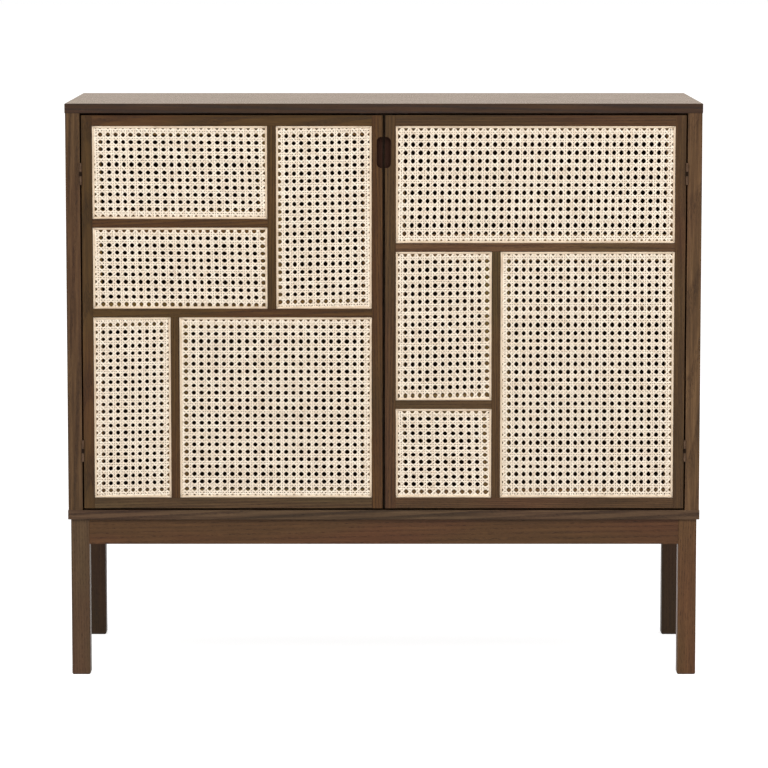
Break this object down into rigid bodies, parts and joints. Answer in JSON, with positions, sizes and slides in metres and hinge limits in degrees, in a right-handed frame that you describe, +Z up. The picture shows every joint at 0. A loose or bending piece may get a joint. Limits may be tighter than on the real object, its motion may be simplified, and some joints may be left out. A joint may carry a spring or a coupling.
{
  "type": "record cabinet",
  "caption": "Low wooden cabinet for vinyl records on a four-legged base, with inset hinged doors whose frames hold woven cane panels.",
  "frame": {"origin": "on the floor, under the centre of the cabinet's footprint", "axes": "+X to the right as seen from the front, -Y out of the front with the doors, +Z up"},
  "size_m": [1.2, 0.453, 1.09],
  "materials": {
    "stained_wood": "dark walnut stain on open-grained wood, satin lacquer",
    "stained_wood_flat": "dark walnut stain on veneered board, satin lacquer",
    "back_board": "stained veneered board",
    "plain_wood": "bare hardwood",
    "cane": "natural woven cane",
    "reed": "natural split reed",
    "bronze": "dark bronzed brass",
    "steel": "zinc-plated",
    "magnet": "sintered ferrite",
    "catch_plastic": "moulded brown"
  },
  "bodies": {
    "case": {"apron_back": "stained_wood", "apron_front": "stained_wood", "apron_left": "stained_wood", "apron_right": "stained_wood", "back_panel": "back_board", "base_screws": "steel", "bottom_panel": "stained_wood_flat", "case_dowels": "plain_wood", "case_hinge_leaves_left": "bronze", "case_hinge_leaves_right": "bronze", "case_hinge_screws": "bronze", "catch_housings": "catch_plastic", "catch_magnets": "magnet", "centre_divider": "stained_wood", "corner_blocks": "plain_wood", "hinge_pins": "bronze", "leg_back_left": "stained_wood", "leg_back_right": "stained_wood", "leg_front_left": "stained_wood", "leg_front_right": "stained_wood", "shelf_left": "stained_wood", "shelf_pins": "steel", "shelf_right": "stained_wood", "side_panel_left": "stained_wood", "side_panel_right": "stained_wood", "top_panel": "stained_wood_flat"},
    "left_door": {"left_bottom_rail": "stained_wood", "left_cane_bottom_inner": "cane", "left_cane_bottom_outer": "cane", "left_cane_middle_outer": "cane", "left_cane_splines": "reed", "left_cane_top_inner": "cane", "left_cane_top_outer": "cane", "left_cross_rail": "stained_wood", "left_hinge_leaves": "bronze", "left_hinge_screws": "bronze", "left_hinge_stile": "stained_wood", "left_lower_muntin": "stained_wood", "left_meeting_stile": "stained_wood", "left_short_rail": "stained_wood", "left_strike_plate": "steel", "left_top_rail": "stained_wood", "left_upper_muntin": "stained_wood"},
    "right_door": {"right_bottom_rail": "stained_wood", "right_cane_bottom_inner": "cane", "right_cane_bottom_outer": "cane", "right_cane_middle_inner": "cane", "right_cane_splines": "reed", "right_cane_top": "cane", "right_cross_rail": "stained_wood", "right_hinge_leaves": "bronze", "right_hinge_screws": "bronze", "right_hinge_stile": "stained_wood", "right_meeting_stile": "stained_wood", "right_muntin": "stained_wood", "right_short_rail": "stained_wood", "right_strike_plate": "steel", "right_top_rail": "stained_wood"}
  },
  "joints": [
    {"name": "left_door_hinge", "type": "hinge", "parent": "case", "child": "left_door", "pos_m": [-0.5705, -0.2255, 0.695], "axis": [0, 0, -1], "range_deg": [0, 175]},
    {"name": "right_door_hinge", "type": "hinge", "parent": "case", "child": "right_door", "pos_m": [0.5705, -0.2255, 0.695], "axis": [0, 0, 1], "range_deg": [0, 175]}
  ]
}
